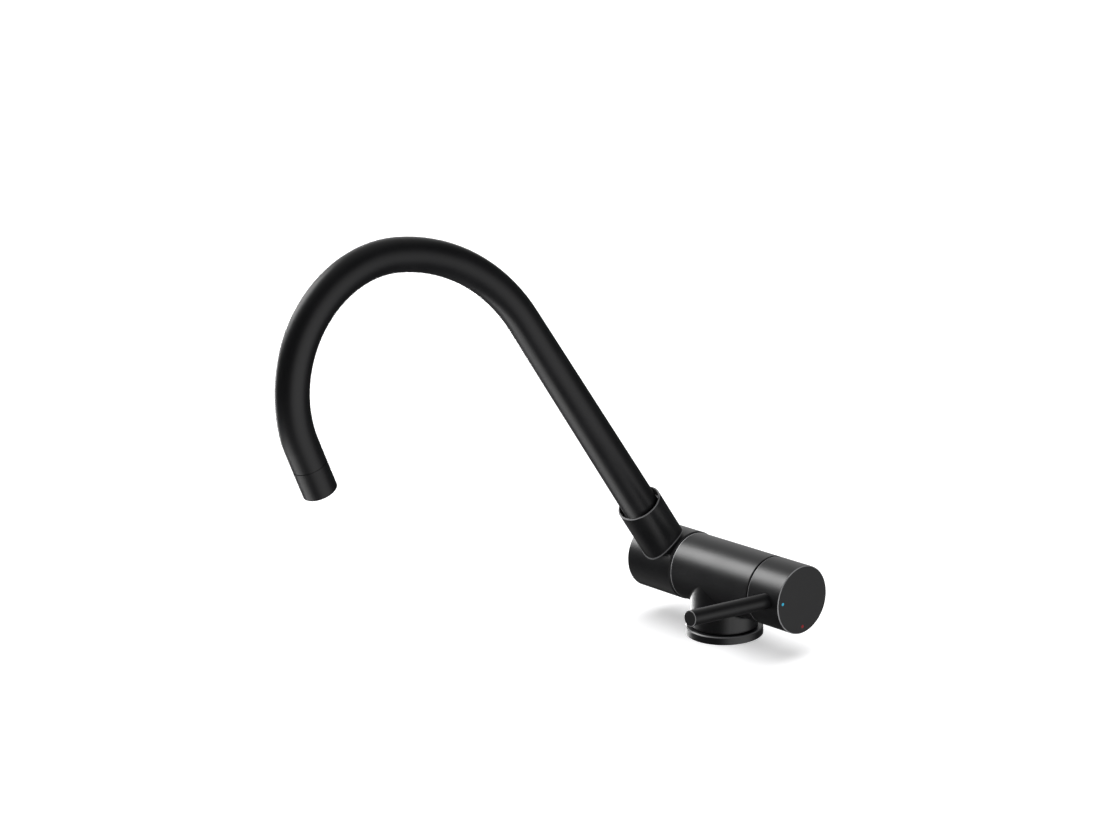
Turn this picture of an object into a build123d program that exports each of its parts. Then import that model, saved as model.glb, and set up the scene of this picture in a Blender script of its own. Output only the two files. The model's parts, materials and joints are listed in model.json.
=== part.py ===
"""Folding single-lever tap with a swan-neck spout, in millimetres.

The origin is the centre of the base ring's underside and +Z is up. The body lies along X, with the
handle at +X, and the spout folds towards -Y, where the user stands. The model stands as it is stored:
the spout part folded, its outlet to the front, and the handle closed and cold.
"""
import os
from math import atan2, cos, pi, radians, sin, sqrt

from build123d import *

# Fits and cuts shared by all pieces
running_gap = 0.05
face_gap = 0.1
side_gap = 0.3
cut_overrun = 1.0

# Body: a horizontal barrel on a short neck
axis_height = 41.5
body_diameter = 47.0
neck_front_margin = 21.1
neck_rear_margin = 5.3
edge_chamfer = 0.5
neck_inset = 0.2
neck_blend_radius = 3.0
neck_cavity_height = 13.0

# Base ring and the groove above it
base_ring_overhang = 3.5
base_ring_height = 5.6
base_ring_chamfer = 0.7
base_groove_height = 0.8
neck_foot_inset = 2.3
neck_foot_wall = 3.0
gasket_width = 3.0
gasket_height = 1.6
gasket_inset = 2.2

# Fixing hole and hose inlets in the floor of the neck
stud_hole_diameter = 6.8
stud_hole_depth = 14.0
stud_x = -12.0
inlet_thread_diameter = 9.0
inlet_thread_depth = 9.0
inlet_x = 3.0
inlet_spacing = 13.0
water_passage_diameter = 5.0

# Cartridge, from its seat in the body outwards
cartridge_bore_diameter = 36.0
cartridge_bore_depth = 31.0
cartridge_diameter = 35.0
cartridge_base_thickness = 4.0
port_spread = 6.0
port_seal_section = 1.8
port_seal_diameter = 7.4
ceramic_diameter = 28.0
fixed_disc_thickness = 3.5
moving_disc_diameter = 21.0
moving_disc_thickness = 3.0
mixing_recess_diameter = 15.0
mixing_recess_depth = 1.6
carrier_thickness = 3.6
housing_wall = 2.0
housing_front_thickness = 2.5
housing_depth = 22.0
rotor_flange_thickness = 8.6
rotor_neck_diameter = 18.0
rotor_neck_length = 4.9
nut_thickness = 2.5
nut_hole_diameter = 24.0
dome_lip_wall = 2.5
dome_wall = 1.5

# Handle: tilts on a pin in the rotor
pivot_depth = 6.1
handle_tilt = 20.0
lever_rise = 5.3
stem_width = 7.0
stem_thickness = 6.0
stem_block_tail = 8.0
stem_tip_inset = 6.5
stem_shank_diameter = 3.0
ball_diameter = 4.0
ball_reach = 12.0
ball_clearance = 0.12
pin_diameter = 3.0
neck_slot_length = 10.4
flange_slot_length = 13.4
front_gap = 0.8
handle_length = 28.6
cap_wall = 2.9
cap_face_thickness = 4.5
cover_disc_thickness = 1.5
cover_disc_inset = 0.6
boss_diameter = 18.0
boss_tail = 3.7
lever_inset = 12.0
lever_diameter = 10.6
lever_reach = 93.2
lever_chamfer = 0.3
lever_thread_diameter = 6.0
handle_screw_diameter = 5.0
handle_screw_length = 5.6
hex_socket_share = 0.5
hex_depth_share = 0.5
marker_diameter = 2.3
marker_depth = 0.8
marker_edge_distance = 4.1
red_marker_angle = -90.0

# Hollow axle on which the rear barrel folds
rear_gap = 0.85
axle_root_diameter = 18.0
axle_root_length = 18.6
axle_chamber_length = 6.0
axle_diameter = 22.0
axle_bore_diameter = 10.0
axle_length = 33.4
axle_wall_end = 8.0
port_groove_width = 11.0
port_groove_depth = 2.4
cross_port_diameter = 5.0
cross_port_count = 4
o_ring_section = 1.8
o_ring_groove_width = 2.4
o_ring_groove_depth = 1.9
front_o_ring_distance = 8.4
rear_o_ring_distance = 29.4
friction_washer_width = 8.6
retaining_washer_diameter = 28.0
retaining_washer_thickness = 1.5
retaining_screw_diameter = 8.0
retaining_screw_length = 7.0
screw_head_diameter = 13.0
screw_head_height = 3.0

# Rear barrel with the socket stub for the spout
rear_barrel_diameter = 48.2
rear_end_distance = 42.5
fold_angle = 33.8
socket_distance = 20.2
socket_diameter = 31.6
socket_reach = 59.0
socket_chamfer = 0.6
socket_water_diameter = 14.0
socket_bore_diameter = 18.4
socket_bore_start = 17.0
bush_seat = 39.0
bush_diameter = 27.8
socket_mouth_diameter = 29.2
socket_mouth_depth = 6.0
stub_blend_radius = 0.8
plug_diameter = 30.0
plug_thickness = 2.4
plug_recess = 0.3
spout_screw_diameter = 4.0
spout_screw_point_diameter = 2.6
spout_screw_s = 30.0
spout_screw_sink = 0.4

# Spout: tapered straight tube, wide bend, tight bend, short straight end, with the outlet screwed in its tip
tube_foot_diameter = 25.3
tube_diameter = 22.3
tube_bore_diameter = 19.0
tube_straight_end = 235.8
wide_bend_radius = 135.7
wide_bend_turn = 50.9
tight_bend_radius = 77.8
tight_bend_turn = 116.1
tube_tail_length = 34.3
root_start = 20.0
root_bore_diameter = 12.0
root_tail_length = 10.0
root_groove_depth = 1.3
root_groove_width = 3.4
lower_seal_s = 24.0
upper_seal_s = 35.2
sleeve_length = 20.0
sleeve_seam_depth = 0.3
sleeve_seam_width = 0.6
sleeve_thread_length = 7.0
sleeve_thread_bore_diameter = 16.0
sleeve_mouth_diameter = 19.4
outlet_recess = 1.2
insert_length = 8.2
insert_wall = 1.6
insert_ring_width = 0.9
insert_ring_count = 3
insert_face_depth = 3.0
insert_rib_width = 1.2
insert_rib_count = 6
insert_rib_sink = 0.8
screen_thickness = 0.8
screen_hole_diameter = 1.6
screen_ring_radii = (2.6, 5.2)
washer_height = 1.4
washer_width = 2.4

# Values that follow from the sizes above
body_radius = body_diameter / 2
neck_diameter = body_diameter - 2 * neck_inset
neck_foot_diameter = neck_diameter - 2 * neck_foot_inset
neck_cavity_diameter = neck_foot_diameter - 2 * neck_foot_wall
base_ring_diameter = neck_diameter + 2 * base_ring_overhang
body_front = neck_diameter / 2 + neck_front_margin
body_rear = -neck_diameter / 2 - neck_rear_margin
neck_bottom = base_ring_height + base_groove_height
seat_x = body_front - cartridge_bore_depth
cartridge_base_front = seat_x + cartridge_base_thickness
fixed_disc_front = cartridge_base_front + fixed_disc_thickness
moving_disc_rear = fixed_disc_front + face_gap
moving_disc_front = moving_disc_rear + moving_disc_thickness
carrier_front = moving_disc_front + carrier_thickness
rotor_rear = carrier_front + side_gap
rotor_flange_front = rotor_rear + rotor_flange_thickness
housing_front = cartridge_base_front + housing_depth
housing_inner_diameter = cartridge_diameter - 2 * housing_wall
rotor_flange_diameter = housing_inner_diameter - 2 * side_gap
nut_front = housing_front + nut_thickness
cap_rear = body_front + front_gap
handle_front = cap_rear + handle_length
handle_pivot_x = body_front - pivot_depth
lever_x = handle_front - lever_inset
boss_rear = lever_x - boss_tail
stem_tip_x = handle_front - stem_tip_inset
stem_block_rear = handle_pivot_x - stem_block_tail
cap_bore_radius = body_radius - cap_wall
dome_radius = sqrt((cap_rear - handle_pivot_x) ** 2 + cap_bore_radius ** 2) - 2 * side_gap
cap_face_rear = handle_front - cap_face_thickness
rear_barrel_radius = rear_barrel_diameter / 2
elbow_front = body_rear - rear_gap
elbow_rear = body_rear - rear_end_distance
socket_x = body_rear - socket_distance
axle_end_x = body_rear - axle_length
front_o_ring_x = body_rear - front_o_ring_distance
rear_o_ring_x = body_rear - rear_o_ring_distance
axle_root_front = body_rear + axle_root_length
elbow_bore_radius = axle_diameter / 2
axle_radius = elbow_bore_radius - running_gap
bush_bore_radius = tube_foot_diameter / 2 + running_gap
root_radius = socket_bore_diameter / 2 - running_gap
bush_end = socket_reach - socket_mouth_depth

# Axes and planes. On a section plane the first number runs along the axis, the second is a radius
lean = radians(fold_angle)
rise = radians(lever_rise)
spout_way = Vector(0, -sin(lean), cos(lean))
hook_way = Vector(0, -cos(lean), -sin(lean))
lever_way = Vector(0, -cos(rise), sin(rise))
body_origin = Vector(0, 0, axis_height)
socket_origin = Vector(socket_x, 0, axis_height)
body_section = Plane(body_origin, x_dir=(1, 0, 0), z_dir=(0, -1, 0))
spout_section = Plane(socket_origin, x_dir=spout_way, z_dir=(1, 0, 0))
body_axis = Axis(body_origin, (1, 0, 0))
spout_axis = Axis(socket_origin, spout_way)


def across_body(x):
    """Plane square to the body's axis at x, its first direction along the lever."""
    return Plane((x, 0, axis_height), x_dir=lever_way, z_dir=(1, 0, 0))


def across_level(x):
    """Plane square to the body's axis at x, its first direction level and its second up."""
    return Plane((x, 0, axis_height), x_dir=(0, 1, 0), z_dir=(1, 0, 0))


def across_spout(distance):
    """Plane square to the spout's straight part, at a distance from the body's axis."""
    return Plane(socket_origin + spout_way * distance, x_dir=hook_way, z_dir=spout_way)


def section(plane, *points):
    """Closed outline on a section plane, as a face to revolve or extrude."""
    with BuildSketch(plane) as outline:
        with BuildLine():
            Polyline(*points, close=True)
        make_face()
    return outline.sketch


def disc(plane, diameter, hole=0.0):
    """Round face, or a ring where a hole is given."""
    with BuildSketch(plane) as outline:
        Circle(diameter / 2)
        if hole:
            Circle(hole / 2, mode=Mode.SUBTRACT)
    return outline.sketch


def rectangle(plane, width, height):
    """Rectangular face centred on its plane."""
    with BuildSketch(plane) as outline:
        Rectangle(width, height)
    return outline.sketch


def o_ring(plane, axis, along, centre_radius):
    """Round-section ring about an axis."""
    with BuildPart() as ring:
        with BuildSketch(plane):
            with Locations((along, centre_radius)):
                Circle(o_ring_section / 2 - running_gap)
        revolve(axis=axis)
    return ring.part


# Body: barrel and neck in one casting, hollow below for the hoses
neck_floor = neck_cavity_height
passage_height = axis_height - port_spread / 2
with BuildPart() as main_body:
    extrude(disc(across_body(body_rear), body_diameter), amount=body_front - body_rear)
    extrude(disc(Plane.XY.offset(neck_bottom), neck_diameter), amount=axis_height - neck_bottom)
    joint_edges = main_body.edges().filter_by(GeomType.BSPLINE)
    fillet(joint_edges, radius=neck_blend_radius)
    rims = main_body.edges().filter_by(GeomType.CIRCLE)
    rims = rims.filter_by(lambda rim: abs(rim.radius - body_radius) < edge_chamfer)
    chamfer(rims.group_by(Axis.X)[0] + rims.group_by(Axis.X)[-1], length=edge_chamfer)
    extrude(disc(Plane.XY, neck_foot_diameter), amount=neck_bottom)
    extrude(disc(Plane.XY, neck_cavity_diameter), amount=neck_floor, mode=Mode.SUBTRACT)
    extrude(disc(across_body(seat_x), cartridge_bore_diameter), amount=cartridge_bore_depth + cut_overrun,
            mode=Mode.SUBTRACT)
    extrude(disc(across_body(body_rear), axle_root_diameter), amount=axle_root_length + axle_chamber_length,
            mode=Mode.SUBTRACT)
    with Locations(Plane.XY.offset(neck_floor)):
        with Locations((stud_x, 0)):
            Cylinder(stud_hole_diameter / 2, 2 * stud_hole_depth, mode=Mode.SUBTRACT)
        with GridLocations(0, inlet_spacing, 1, 2):
            with Locations((inlet_x, 0)):
                Cylinder(inlet_thread_diameter / 2, 2 * inlet_thread_depth, mode=Mode.SUBTRACT)
                Cylinder(water_passage_diameter / 2, 2 * (passage_height - neck_floor), mode=Mode.SUBTRACT)
    for side in (-1, 1):
        cross_passage = Plane((inlet_x, side * inlet_spacing / 2, passage_height), x_dir=(0, 1, 0), z_dir=(1, 0, 0))
        extrude(disc(cross_passage, water_passage_diameter), amount=seat_x - inlet_x + cut_overrun, mode=Mode.SUBTRACT)
    outlet_start = axle_root_front + axle_chamber_length - cut_overrun
    outlet_passage = Plane((outlet_start, 0, axis_height + port_spread), x_dir=(0, 1, 0), z_dir=(1, 0, 0))
    extrude(disc(outlet_passage, water_passage_diameter), amount=seat_x - outlet_start + cut_overrun,
            mode=Mode.SUBTRACT)
main_body.part.label = "main_body"

# Base ring: a flat ring under the neck, recessed below for the gasket
foot_clear_radius = neck_foot_diameter / 2 + running_gap
ring_radius = base_ring_diameter / 2
gasket_inner_radius = foot_clear_radius + gasket_inset - running_gap
gasket_outer_radius = gasket_inner_radius + gasket_width
with BuildPart() as base_ring:
    profile = section(
        Plane.XZ,
        (foot_clear_radius, 0),
        (gasket_inner_radius, 0),
        (gasket_inner_radius, gasket_height),
        (gasket_outer_radius, gasket_height),
        (gasket_outer_radius, 0),
        (ring_radius, 0),
        (ring_radius, base_ring_height - base_ring_chamfer),
        (ring_radius - base_ring_chamfer, base_ring_height),
        (foot_clear_radius, base_ring_height),
    )
    revolve(profile, axis=Axis.Z)
base_ring.part.label = "base_ring"

# Gasket: rubber ring flush with the underside
with BuildPart() as base_gasket:
    profile = section(
        Plane.XZ,
        (gasket_inner_radius + running_gap, 0),
        (gasket_outer_radius - running_gap, 0),
        (gasket_outer_radius - running_gap, gasket_height),
        (gasket_inner_radius + running_gap, gasket_height),
    )
    revolve(profile, axis=Axis.Z)
base_gasket.part.label = "base_gasket"

# Cartridge base: plastic plate with three ports and a seal pocket behind each
port_places = [
    (-inlet_spacing / 2, -port_spread / 2),
    (inlet_spacing / 2, -port_spread / 2),
    (0, port_spread),
]
seal_pocket_diameter = port_seal_diameter + port_seal_section + 2 * running_gap
with BuildPart() as cartridge_base:
    extrude(disc(across_body(seat_x), cartridge_diameter), amount=cartridge_base_thickness)
    with Locations(across_level(seat_x)):
        with Locations(*port_places):
            Cylinder(water_passage_diameter / 2, 2 * (cartridge_base_thickness + cut_overrun), mode=Mode.SUBTRACT)
            Cylinder(seal_pocket_diameter / 2, 2 * port_seal_section, mode=Mode.SUBTRACT)
cartridge_base.part.label = "cartridge_base"


def port_seal(place):
    """Rubber ring round one port, pressed between the cartridge and its seat."""
    across, up = place
    centre = Vector(seat_x + port_seal_section / 2, across, axis_height + up)
    with BuildPart() as seal:
        with BuildSketch(Plane(centre, x_dir=(0, 1, 0), z_dir=(0, 0, 1))):
            with Locations((port_seal_diameter / 2, 0)):
                Circle(port_seal_section / 2 - running_gap)
        revolve(axis=Axis(centre, (1, 0, 0)))
    return seal.part


port_seals = dict(zip(("cold_port_seal", "hot_port_seal", "outlet_port_seal"), map(port_seal, port_places)))
for name, seal in port_seals.items():
    seal.label = name

# Fixed ceramic disc with the three ports
with BuildPart() as fixed_disc:
    extrude(disc(across_body(cartridge_base_front), ceramic_diameter), amount=fixed_disc_thickness)
    with Locations(across_level(cartridge_base_front)):
        with Locations(*port_places):
            Cylinder(water_passage_diameter / 2, 2 * (fixed_disc_thickness + cut_overrun), mode=Mode.SUBTRACT)
fixed_disc.part.label = "fixed_disc"

# Cartridge housing: plastic cup over the discs and the rotor
with BuildPart() as cartridge_housing:
    profile = section(
        body_section,
        (cartridge_base_front, housing_inner_diameter / 2),
        (cartridge_base_front, cartridge_diameter / 2),
        (housing_front, cartridge_diameter / 2),
        (housing_front, rotor_neck_diameter / 2 + running_gap),
        (housing_front - housing_front_thickness, rotor_neck_diameter / 2 + running_gap),
        (housing_front - housing_front_thickness, housing_inner_diameter / 2),
    )
    revolve(profile, axis=body_axis)
cartridge_housing.part.label = "cartridge_housing"

# Nut: brass ring that holds the cartridge down
nut_radius = cartridge_bore_diameter / 2 - running_gap
with BuildPart() as cartridge_nut:
    extrude(disc(across_body(housing_front), 2 * nut_radius, nut_hole_diameter), amount=nut_thickness)
cartridge_nut.part.label = "cartridge_nut"

# Dome ring: round shell about the handle's pivot, seen only when the handle is lifted
dome_foot = sqrt(dome_radius ** 2 - (body_front - handle_pivot_x) ** 2)
dome_inner_radius = dome_radius - dome_wall
dome_floor = body_front + dome_wall
dome_inner_foot = sqrt(dome_inner_radius ** 2 - (dome_floor - handle_pivot_x) ** 2)
boss_corner_turn = radians(handle_tilt) + atan2(boss_diameter / 2, boss_rear - handle_pivot_x)
dome_hole_radius = dome_radius * sin(boss_corner_turn) + side_gap
dome_edge_x = handle_pivot_x + sqrt(dome_radius ** 2 - dome_hole_radius ** 2)
dome_inner_edge_x = handle_pivot_x + sqrt(dome_inner_radius ** 2 - dome_hole_radius ** 2)
lip_inner_radius = nut_radius - dome_lip_wall
with BuildPart() as dome_ring:
    with BuildSketch(body_section):
        with BuildLine():
            Polyline(
                (dome_floor, dome_inner_foot),
                (dome_floor, lip_inner_radius),
                (nut_front, lip_inner_radius),
                (nut_front, nut_radius),
                (body_front, nut_radius),
                (body_front, dome_foot),
            )
            RadiusArc((body_front, dome_foot), (dome_edge_x, dome_hole_radius), dome_radius)
            Line((dome_edge_x, dome_hole_radius), (dome_inner_edge_x, dome_hole_radius))
            RadiusArc((dome_inner_edge_x, dome_hole_radius), (dome_floor, dome_inner_foot), -dome_inner_radius)
        make_face()
    revolve(axis=body_axis)
dome_ring.part.label = "dome_ring"

# Rotor: turns in the housing and carries the handle's pin, with a slot for the stem
pin_plane = Plane((handle_pivot_x, 0, axis_height), x_dir=(1, 0, 0), z_dir=(0, sin(rise), cos(rise)))
with BuildPart() as cartridge_rotor:
    extrude(disc(across_body(rotor_rear), rotor_flange_diameter), amount=rotor_flange_thickness)
    extrude(disc(across_body(rotor_flange_front), rotor_neck_diameter), amount=rotor_neck_length)
    extrude(rectangle(across_body(rotor_rear), flange_slot_length, stem_thickness + 2 * side_gap),
            amount=rotor_flange_thickness, mode=Mode.SUBTRACT)
    extrude(rectangle(across_body(rotor_flange_front), neck_slot_length, stem_thickness + 2 * side_gap),
            amount=rotor_neck_length, mode=Mode.SUBTRACT)
    extrude(disc(pin_plane, pin_diameter + 2 * running_gap), amount=rotor_neck_diameter, both=True,
            mode=Mode.SUBTRACT)
cartridge_rotor.part.label = "cartridge_rotor"

# Moving ceramic disc with the mixing recess below
with BuildPart() as moving_disc:
    extrude(disc(across_body(moving_disc_rear), moving_disc_diameter), amount=moving_disc_thickness)
    extrude(disc(across_body(moving_disc_rear), mixing_recess_diameter), amount=mixing_recess_depth,
            mode=Mode.SUBTRACT)
moving_disc.part.label = "moving_disc"

# Carrier: takes the stem's ball and pushes the moving disc
ball_x = handle_pivot_x - ball_reach
pocket_floor = ball_x - ball_diameter / 2 - ball_clearance
with BuildPart() as disc_carrier:
    extrude(disc(across_body(moving_disc_front), moving_disc_diameter), amount=carrier_thickness)
    extrude(disc(across_body(pocket_floor), ball_diameter + 2 * ball_clearance),
            amount=carrier_front - pocket_floor + cut_overrun, mode=Mode.SUBTRACT)
disc_carrier.part.label = "disc_carrier"

# Stem: flat bar on the pin, with a ball below
with BuildPart() as cartridge_stem:
    extrude(rectangle(across_body(stem_block_rear), stem_width, stem_thickness),
            amount=stem_tip_x - stem_block_rear)
    extrude(disc(across_body(ball_x), stem_shank_diameter), amount=stem_block_rear - ball_x)
    with Locations((ball_x, 0, axis_height)):
        Sphere(ball_diameter / 2)
    extrude(disc(pin_plane, pin_diameter), amount=stem_thickness, both=True, mode=Mode.SUBTRACT)
cartridge_stem.part.label = "cartridge_stem"

# Pin: the handle's pivot
pin_half_length = sqrt((rotor_neck_diameter / 2) ** 2 - (pin_diameter / 2) ** 2) - side_gap
with BuildPart() as stem_pin:
    extrude(disc(pin_plane, pin_diameter), amount=pin_half_length, both=True)
stem_pin.part.label = "stem_pin"

# Handle cap: a cup with a boss for the stem, cut away at the back so that it can tilt
tilt = radians(handle_tilt)
tilted_normal = Vector(1, 0, 0) * cos(tilt) + lever_way * sin(tilt)
relief_reach = body_front + side_gap - handle_pivot_x
relief_plane = Plane(Vector(handle_pivot_x, 0, axis_height) + tilted_normal * relief_reach, z_dir=tilted_normal)
disc_seat_x = handle_front - cover_disc_thickness
cover_disc_radius = body_radius - cover_disc_inset
boss_radius = boss_diameter / 2
lever_plane = Plane((lever_x, 0, axis_height), x_dir=(1, 0, 0), z_dir=lever_way)
screw_plane = Plane((lever_x, 0, axis_height), x_dir=(1, 0, 0), z_dir=(0, -sin(rise), -cos(rise)))
stem_socket_width = stem_width + 2 * running_gap
stem_socket_thickness = stem_thickness + 2 * running_gap
with BuildPart() as handle_cap:
    cup = section(
        body_section,
        (cap_rear, cap_bore_radius),
        (cap_rear, body_radius - edge_chamfer),
        (cap_rear + edge_chamfer, body_radius),
        (handle_front - edge_chamfer, body_radius),
        (handle_front, body_radius - edge_chamfer),
        (handle_front, cover_disc_radius),
        (disc_seat_x, cover_disc_radius),
        (disc_seat_x, 0),
        (boss_rear, 0),
        (boss_rear, boss_radius),
        (cap_face_rear, boss_radius),
        (cap_face_rear, cap_bore_radius),
    )
    revolve(cup, axis=body_axis)
    extrude(rectangle(across_body(boss_rear), stem_socket_width, stem_socket_thickness),
            amount=stem_tip_x + running_gap - boss_rear, mode=Mode.SUBTRACT)
    extrude(disc(lever_plane.offset(boss_radius), lever_diameter + 2 * running_gap),
            amount=body_radius, mode=Mode.SUBTRACT)
    extrude(disc(lever_plane, lever_thread_diameter + 2 * running_gap), amount=boss_radius + cut_overrun,
            mode=Mode.SUBTRACT)
    extrude(disc(screw_plane, handle_screw_diameter + 2 * running_gap), amount=body_radius, mode=Mode.SUBTRACT)
    split(bisect_by=relief_plane, keep=Keep.TOP)
handle_cap.part.label = "handle_cap"

# Cover disc: plain round plate let into the cap's face, with a pocket for each colour marker
marker_radius = cover_disc_radius - marker_edge_distance


def marker_floor(angle):
    """Plane at the floor of a marker's pocket, its angle measured up from the user's side."""
    side = -cos(radians(angle)) * marker_radius
    height = axis_height + sin(radians(angle)) * marker_radius
    return Plane((handle_front - marker_depth, side, height), x_dir=(0, 1, 0), z_dir=(1, 0, 0))


with BuildPart() as cover_disc:
    extrude(disc(across_body(disc_seat_x), 2 * (cover_disc_radius - running_gap)), amount=cover_disc_thickness)
    for angle in (lever_rise, red_marker_angle):
        extrude(disc(marker_floor(angle), marker_diameter), amount=marker_depth, mode=Mode.SUBTRACT)
cover_disc.part.label = "cover_disc"


def marker(angle):
    """Round colour insert in the cover disc."""
    with BuildPart() as insert:
        extrude(disc(marker_floor(angle), marker_diameter - 2 * running_gap), amount=marker_depth)
    return insert.part


blue_marker = marker(lever_rise)
blue_marker.label = "blue_marker"
red_marker = marker(red_marker_angle)
red_marker.label = "red_marker"

# Lever: round rod screwed into the boss
lever_radius = lever_diameter / 2
lever_section = Plane(lever_plane.origin, x_dir=lever_way, z_dir=(0, sin(rise), cos(rise)))
thread_start = stem_socket_width / 2 + running_gap
with BuildPart() as lever_rod:
    profile = section(
        lever_section,
        (thread_start, 0),
        (thread_start, lever_thread_diameter / 2),
        (boss_radius + running_gap, lever_thread_diameter / 2),
        (boss_radius + running_gap, lever_radius),
        (lever_reach - lever_chamfer, lever_radius),
        (lever_reach, lever_radius - lever_chamfer),
        (lever_reach, 0),
    )
    revolve(profile, axis=Axis(lever_plane.origin, lever_way))
lever_rod.part.label = "lever_rod"

# Set screw that clamps the stem in the boss
with BuildPart() as handle_grub_screw:
    screw_foot = screw_plane.offset(stem_thickness / 2 + running_gap)
    extrude(disc(screw_foot, handle_screw_diameter), amount=handle_screw_length)
    with BuildSketch(screw_foot.offset(handle_screw_length)):
        RegularPolygon(handle_screw_diameter * hex_socket_share / 2, 6, major_radius=False)
    extrude(amount=-handle_screw_length * hex_depth_share, mode=Mode.SUBTRACT)
handle_grub_screw.part.label = "handle_grub_screw"

# Hollow axle: screwed into the body, with a water groove and two seal grooves
port_groove_radius = axle_radius - port_groove_depth
seal_floor_radius = axle_radius - o_ring_groove_depth


def seal_groove(axis_plane, along, outer_radius, floor_radius):
    """Ring-shaped cut for an o-ring, as a face to revolve."""
    half_width = o_ring_groove_width / 2
    return section(
        axis_plane,
        (along - half_width, floor_radius),
        (along + half_width, floor_radius),
        (along + half_width, outer_radius + cut_overrun),
        (along - half_width, outer_radius + cut_overrun),
    )


with BuildPart() as fold_axle:
    profile = section(
        body_section,
        (axle_end_x, 0),
        (axle_end_x, axle_radius),
        (body_rear, axle_radius),
        (body_rear, axle_root_diameter / 2 - running_gap),
        (axle_root_front, axle_root_diameter / 2 - running_gap),
        (axle_root_front, 0),
    )
    revolve(profile, axis=body_axis)
    extrude(disc(across_body(axle_end_x + axle_wall_end), axle_bore_diameter),
            amount=axle_root_front - axle_end_x, mode=Mode.SUBTRACT)
    groove = section(
        body_section,
        (socket_x - port_groove_width / 2, port_groove_radius),
        (socket_x + port_groove_width / 2, port_groove_radius),
        (socket_x + port_groove_width / 2, axle_radius + cut_overrun),
        (socket_x - port_groove_width / 2, axle_radius + cut_overrun),
    )
    revolve(groove, axis=body_axis, mode=Mode.SUBTRACT)
    for seal_x in (front_o_ring_x, rear_o_ring_x):
        revolve(seal_groove(body_section, seal_x, axle_radius, seal_floor_radius), axis=body_axis,
                mode=Mode.SUBTRACT)
    for turn in range(cross_port_count):
        way = Vector(0, 0, 1).rotate(Axis.X, turn * 360 / cross_port_count)
        port_plane = Plane(socket_origin, x_dir=(1, 0, 0), z_dir=way)
        extrude(disc(port_plane, cross_port_diameter), amount=axle_radius, mode=Mode.SUBTRACT)
    extrude(disc(across_body(axle_end_x), retaining_screw_diameter + 2 * running_gap),
            amount=retaining_screw_length + running_gap, mode=Mode.SUBTRACT)
fold_axle.part.label = "fold_axle"

# Seals on the axle
fold_seal_radius = axle_radius - o_ring_section / 2
fold_o_ring_front = o_ring(body_section, body_axis, front_o_ring_x, fold_seal_radius)
fold_o_ring_front.label = "fold_o_ring_front"
fold_o_ring_rear = o_ring(body_section, body_axis, rear_o_ring_x, fold_seal_radius)
fold_o_ring_rear.label = "fold_o_ring_rear"

# Friction washer in the gap between body and rear barrel
with BuildPart() as friction_washer:
    washer_bore = axle_diameter + 2 * running_gap
    extrude(disc(across_body(body_rear), washer_bore + 2 * friction_washer_width, washer_bore),
            amount=-(rear_gap - running_gap))
friction_washer.part.label = "friction_washer"

# Washer and screw that hold the rear barrel on the axle
washer_front = axle_end_x - running_gap
washer_rear = washer_front - retaining_washer_thickness
with BuildPart() as retaining_washer:
    extrude(disc(across_body(washer_front), retaining_washer_diameter, retaining_screw_diameter + 2 * running_gap),
            amount=-retaining_washer_thickness)
retaining_washer.part.label = "retaining_washer"

with BuildPart() as retaining_screw:
    extrude(disc(across_body(washer_rear), screw_head_diameter), amount=-screw_head_height)
    extrude(disc(across_body(washer_rear), retaining_screw_diameter),
            amount=retaining_washer_thickness + retaining_screw_length)
    with BuildSketch(across_body(washer_rear - screw_head_height)):
        RegularPolygon(screw_head_diameter * hex_socket_share / 2, 6, major_radius=False)
    extrude(amount=screw_head_height * hex_depth_share, mode=Mode.SUBTRACT)
retaining_screw.part.label = "retaining_screw"

# Rear barrel: turns on the axle, with the spout's socket as a stub at the fold angle
barrel_shoulder = axle_end_x
plug_bore_diameter = plug_diameter + 2 * running_gap
bush_radius = bush_diameter / 2
spout_screw_plane = Plane(socket_origin + spout_way * spout_screw_s, x_dir=spout_way, z_dir=-hook_way)
with BuildPart() as elbow:
    barrel = section(
        body_section,
        (elbow_rear, 0),
        (elbow_rear, rear_barrel_radius - edge_chamfer),
        (elbow_rear + edge_chamfer, rear_barrel_radius),
        (elbow_front - edge_chamfer, rear_barrel_radius),
        (elbow_front, rear_barrel_radius - edge_chamfer),
        (elbow_front, 0),
    )
    revolve(barrel, axis=body_axis)
    stub = section(
        spout_section,
        (0, 0),
        (0, socket_diameter / 2),
        (socket_reach - socket_chamfer, socket_diameter / 2),
        (socket_reach, socket_diameter / 2 - socket_chamfer),
        (socket_reach, 0),
    )
    revolve(stub, axis=spout_axis)
    joint_edges = elbow.edges().filter_by(GeomType.BSPLINE)
    fillet(joint_edges, radius=stub_blend_radius)
    extrude(disc(across_body(barrel_shoulder), 2 * elbow_bore_radius),
            amount=elbow_front - barrel_shoulder + cut_overrun, mode=Mode.SUBTRACT)
    extrude(disc(across_body(barrel_shoulder), plug_bore_diameter),
            amount=elbow_rear - barrel_shoulder - cut_overrun, mode=Mode.SUBTRACT)
    extrude(disc(across_spout(axle_diameter / 2 - cut_overrun), socket_water_diameter),
            amount=socket_bore_start, mode=Mode.SUBTRACT)
    extrude(disc(across_spout(socket_bore_start), socket_bore_diameter),
            amount=bush_seat - socket_bore_start + cut_overrun, mode=Mode.SUBTRACT)
    extrude(disc(across_spout(bush_seat), bush_diameter),
            amount=socket_reach - bush_seat + cut_overrun, mode=Mode.SUBTRACT)
    extrude(disc(across_spout(bush_end), socket_mouth_diameter), amount=socket_mouth_depth + cut_overrun,
            mode=Mode.SUBTRACT)
    extrude(disc(spout_screw_plane, spout_screw_diameter + 2 * running_gap), amount=socket_diameter,
            mode=Mode.SUBTRACT)
elbow.part.label = "elbow"

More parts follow.
